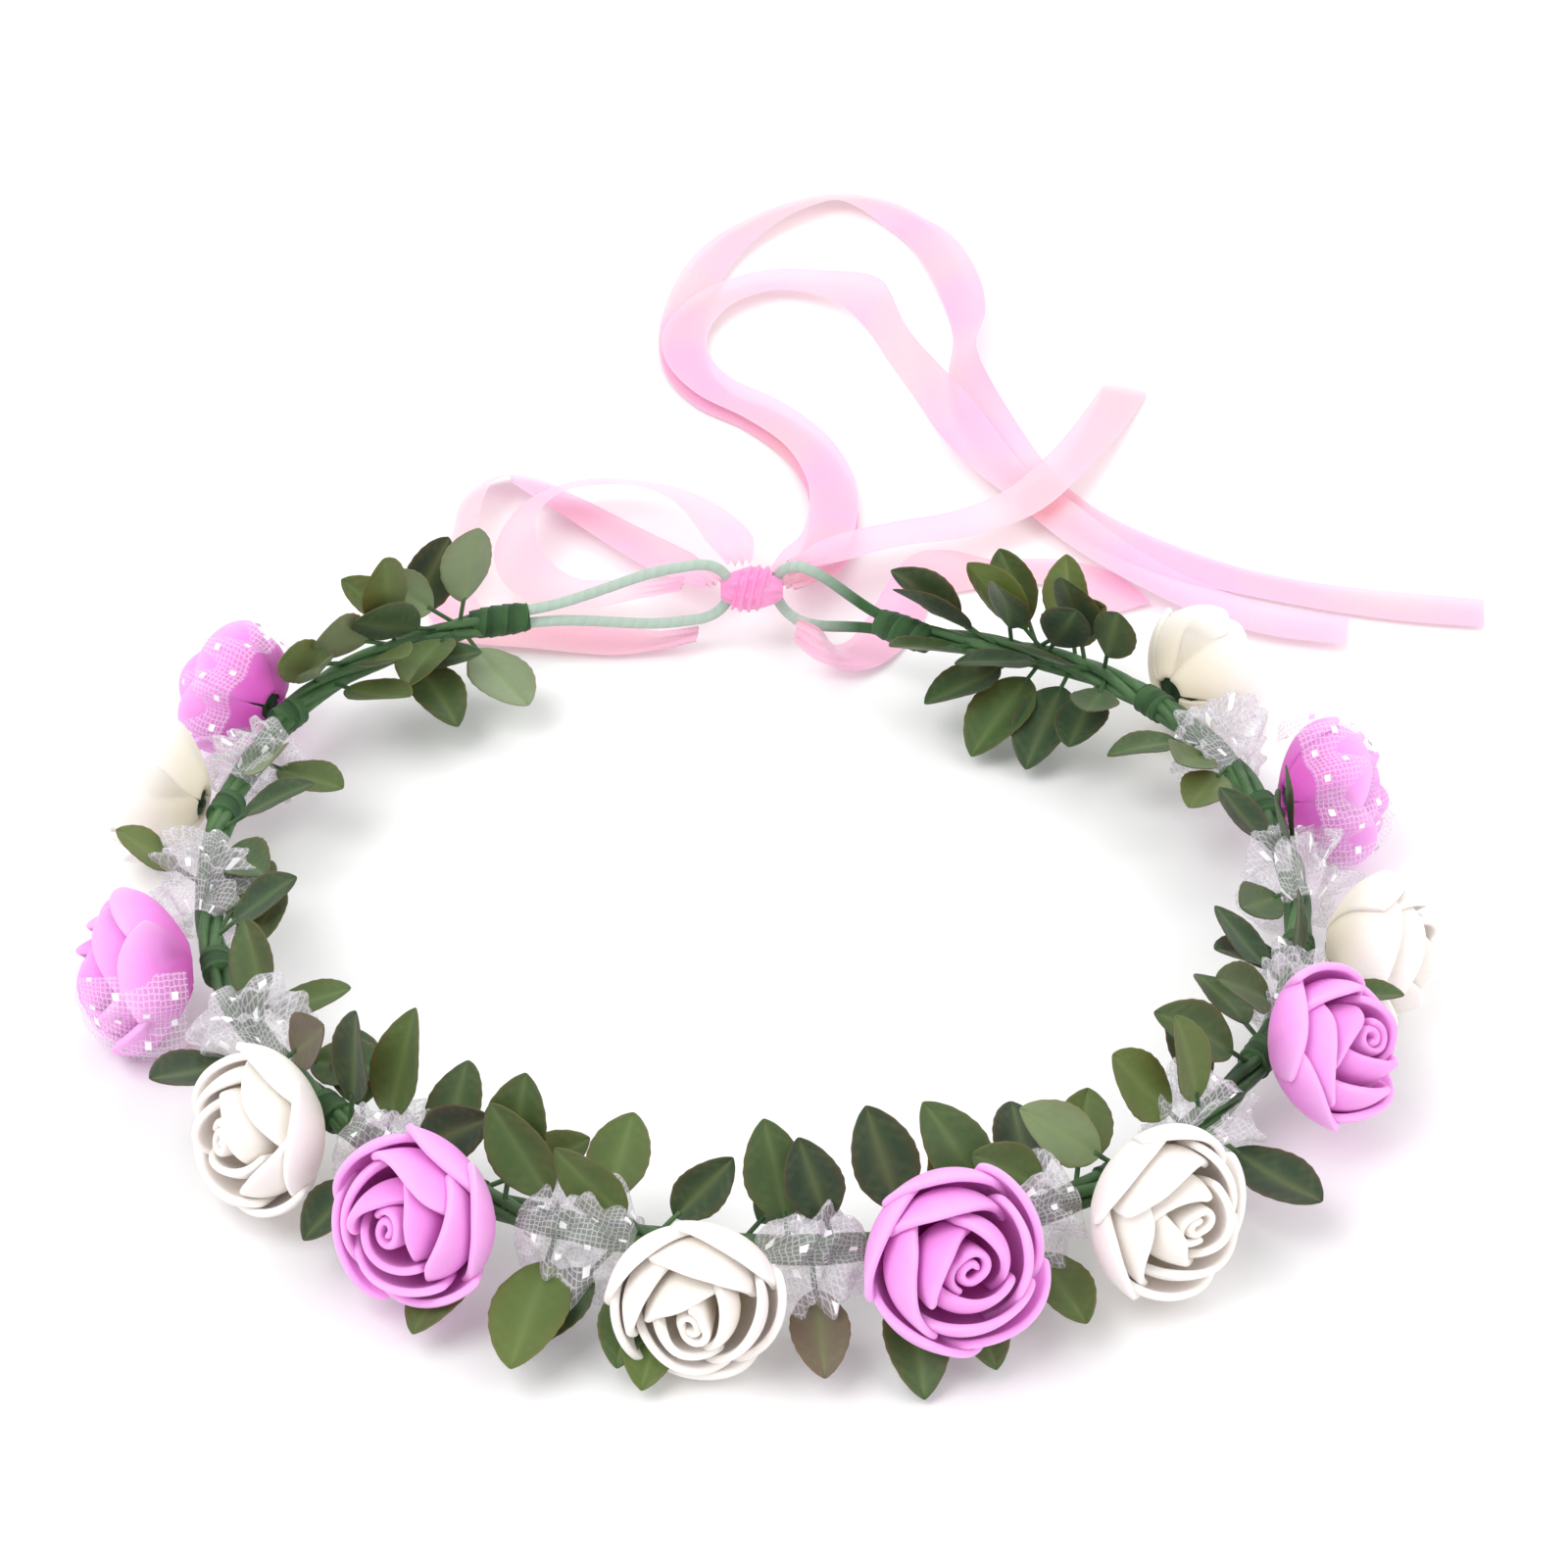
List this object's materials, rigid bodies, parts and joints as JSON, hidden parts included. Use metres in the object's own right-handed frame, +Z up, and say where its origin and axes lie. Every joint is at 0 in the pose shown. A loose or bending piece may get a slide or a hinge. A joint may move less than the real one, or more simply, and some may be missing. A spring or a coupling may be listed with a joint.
{
  "type": "flower crown",
  "caption": "Wire head ring with foam roses, cloth leaves and dotted tulle, tied at the open back by a sheer ribbon in a bow with long tails.",
  "frame": {"origin": "centre of the head ring, in the plane of the surface that the crown lies on", "axes": "+Z up out of the ring, +Y to the open back where the ribbon ties, +X to the wearer's left"},
  "size_m": [0.2604, 0.4084, 0.0361],
  "materials": {
    "core_wire": "bare florist's wire",
    "floral_tape": "waxed crepe tape, dark green",
    "sage_wire": "paper-wound wire, pale sage green",
    "rose_stem": "waxed crepe tape, green",
    "pink_foam": "matt foam, orchid pink",
    "ivory_foam": "matt foam, ivory",
    "leaf_cloth": "printed cloth, dark and olive green",
    "dotted_tulle": "sheer net with small white dots",
    "pink_organza": "sheer organza, pale pink",
    "knotted_organza": "organza drawn into a knot, pink"
  },
  "bodies": {
    "ring": {"band_core_wire": "core_wire", "band_floral_tape": "floral_tape", "left_wire_loop": "sage_wire", "right_wire_loop": "sage_wire", "wire_bindings": "floral_tape", "leaves_left_back": "leaf_cloth", "leaves_left": "leaf_cloth", "leaves_front_left": "leaf_cloth", "leaves_front_right": "leaf_cloth", "leaves_right": "leaf_cloth", "leaves_right_back": "leaf_cloth", "tulle_left": "dotted_tulle", "tulle_right": "dotted_tulle", "ribbon_knot": "knotted_organza", "ribbon_tail_4_turn": "pink_organza"},
    "rose_01": {"rose_01_stem": "rose_stem", "rose_01_bud": "pink_foam", "rose_01_petals": "pink_foam"},
    "rose_02": {"rose_02_stem": "rose_stem", "rose_02_bud": "ivory_foam", "rose_02_petals": "ivory_foam"},
    "rose_03": {"rose_03_stem": "rose_stem", "rose_03_bud": "pink_foam", "rose_03_petals": "pink_foam"},
    "rose_04": {"rose_04_stem": "rose_stem", "rose_04_bud": "ivory_foam", "rose_04_petals": "ivory_foam"},
    "rose_05": {"rose_05_stem": "rose_stem", "rose_05_bud": "pink_foam", "rose_05_petals": "pink_foam", "rose_05_leaves": "leaf_cloth"},
    "rose_06": {"rose_06_stem": "rose_stem", "rose_06_bud": "ivory_foam", "rose_06_petals": "ivory_foam", "rose_06_leaves": "leaf_cloth"},
    "rose_07": {"rose_07_stem": "rose_stem", "rose_07_bud": "pink_foam", "rose_07_petals": "pink_foam", "rose_07_leaves": "leaf_cloth"},
    "rose_08": {"rose_08_stem": "rose_stem", "rose_08_bud": "ivory_foam", "rose_08_petals": "ivory_foam"},
    "rose_09": {"rose_09_stem": "rose_stem", "rose_09_bud": "pink_foam", "rose_09_petals": "pink_foam"},
    "rose_10": {"rose_10_stem": "rose_stem", "rose_10_bud": "ivory_foam", "rose_10_petals": "ivory_foam"},
    "rose_11": {"rose_11_stem": "rose_stem", "rose_11_bud": "pink_foam", "rose_11_petals": "pink_foam"},
    "rose_12": {"rose_12_stem": "rose_stem", "rose_12_bud": "ivory_foam", "rose_12_petals": "ivory_foam"},
    "bow": {"ribbon_bow_loop_a": "pink_organza", "ribbon_bow_loop_b": "pink_organza"},
    "tails": {"ribbon_tail_1": "pink_organza", "ribbon_tail_2": "pink_organza", "ribbon_tail_3": "pink_organza", "ribbon_tail_4": "pink_organza"}
  },
  "joints": [
    {"name": "rose_01_nod", "type": "hinge", "parent": "ring", "child": "rose_01", "pos_m": [-0.08868, 0.05542, 0.01304], "axis": [0.5299, 0.848, 0], "range_deg": [-15, 15]},
    {"name": "rose_02_nod", "type": "hinge", "parent": "ring", "child": "rose_02", "pos_m": [-0.09741, 0.02429, 0.0131], "axis": [0.2419, 0.9703, 0], "range_deg": [-15, 15]},
    {"name": "rose_03_nod", "type": "hinge", "parent": "ring", "child": "rose_03", "pos_m": [-0.09352, -0.02332, 0.0131], "axis": [-0.2419, 0.9703, 0], "range_deg": [-15, 15]},
    {"name": "rose_04_nod", "type": "hinge", "parent": "ring", "child": "rose_04", "pos_m": [-0.07006, -0.06308, 0.01374], "axis": [-0.6691, 0.7431, 0], "range_deg": [-15, 15]},
    {"name": "rose_05_nod", "type": "hinge", "parent": "ring", "child": "rose_05", "pos_m": [-0.04628, -0.08349, 0.01407], "axis": [-0.8746, 0.4848, 0], "range_deg": [-15, 15]},
    {"name": "rose_06_nod", "type": "hinge", "parent": "ring", "child": "rose_06", "pos_m": [-0.00679, -0.09703, 0.01327], "axis": [-0.9976, 0.0698, 0], "range_deg": [-15, 15]},
    {"name": "rose_07_nod", "type": "hinge", "parent": "ring", "child": "rose_07", "pos_m": [0.02894, -0.09467, 0.0145], "axis": [-0.9563, -0.2924, 0], "range_deg": [-15, 15]},
    {"name": "rose_08_nod", "type": "hinge", "parent": "ring", "child": "rose_08", "pos_m": [0.05893, -0.0811, 0.01379], "axis": [-0.809, -0.5878, 0], "range_deg": [-15, 15]},
    {"name": "rose_09_nod", "type": "hinge", "parent": "ring", "child": "rose_09", "pos_m": [0.08692, -0.04818, 0.0146], "axis": [-0.4848, -0.8746, 0], "range_deg": [-15, 15]},
    {"name": "rose_10_nod", "type": "hinge", "parent": "ring", "child": "rose_10", "pos_m": [0.09734, -0.01716, 0.01298], "axis": [-0.1736, -0.9848, 0], "range_deg": [-15, 15]},
    {"name": "rose_11_nod", "type": "hinge", "parent": "ring", "child": "rose_11", "pos_m": [0.09504, 0.02547, 0.01298], "axis": [0.2588, -0.9659, 0], "range_deg": [-15, 15]},
    {"name": "rose_12_nod", "type": "hinge", "parent": "ring", "child": "rose_12", "pos_m": [0.07712, 0.06025, 0.01292], "axis": [0.6157, -0.788, 0], "range_deg": [-15, 15]},
    {"name": "bow_lift", "type": "hinge", "parent": "ring", "child": "bow", "pos_m": [0, 0.099, 0.013], "axis": [1, 0, 0], "range_deg": [-8, 60]},
    {"name": "tails_swing", "type": "hinge", "parent": "ring", "child": "tails", "pos_m": [0, 0.099, 0.013], "axis": [1, 0, 0], "range_deg": [-75, 60]}
  ]
}
